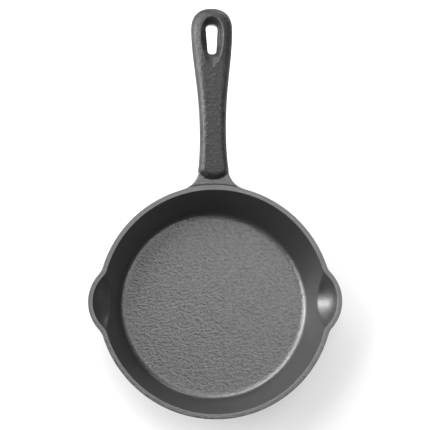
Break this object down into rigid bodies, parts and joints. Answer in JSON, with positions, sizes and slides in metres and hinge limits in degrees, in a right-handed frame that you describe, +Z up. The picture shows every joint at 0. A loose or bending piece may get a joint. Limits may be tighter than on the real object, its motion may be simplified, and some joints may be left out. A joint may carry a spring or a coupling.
{
  "type": "cast iron skillet",
  "caption": "Small round cast iron skillet with leaning walls, a pouring lip at each side and a flat cast handle that ends in a hanging slot.",
  "frame": {"origin": "centre of the pan's flat underside", "axes": "+Z up out of the pan, +Y along the handle towards its free end, +X towards the right-hand pouring lip"},
  "size_m": [0.1724, 0.2828, 0.0417],
  "materials": {
    "iron": "black seasoned sand casting with a fine pebbled grain and smooth leaning walls"
  },
  "bodies": {
    "root": {"pan_bowl": "iron", "handle_web": "iron", "handle_grip": "iron"}
  },
  "joints": []
}
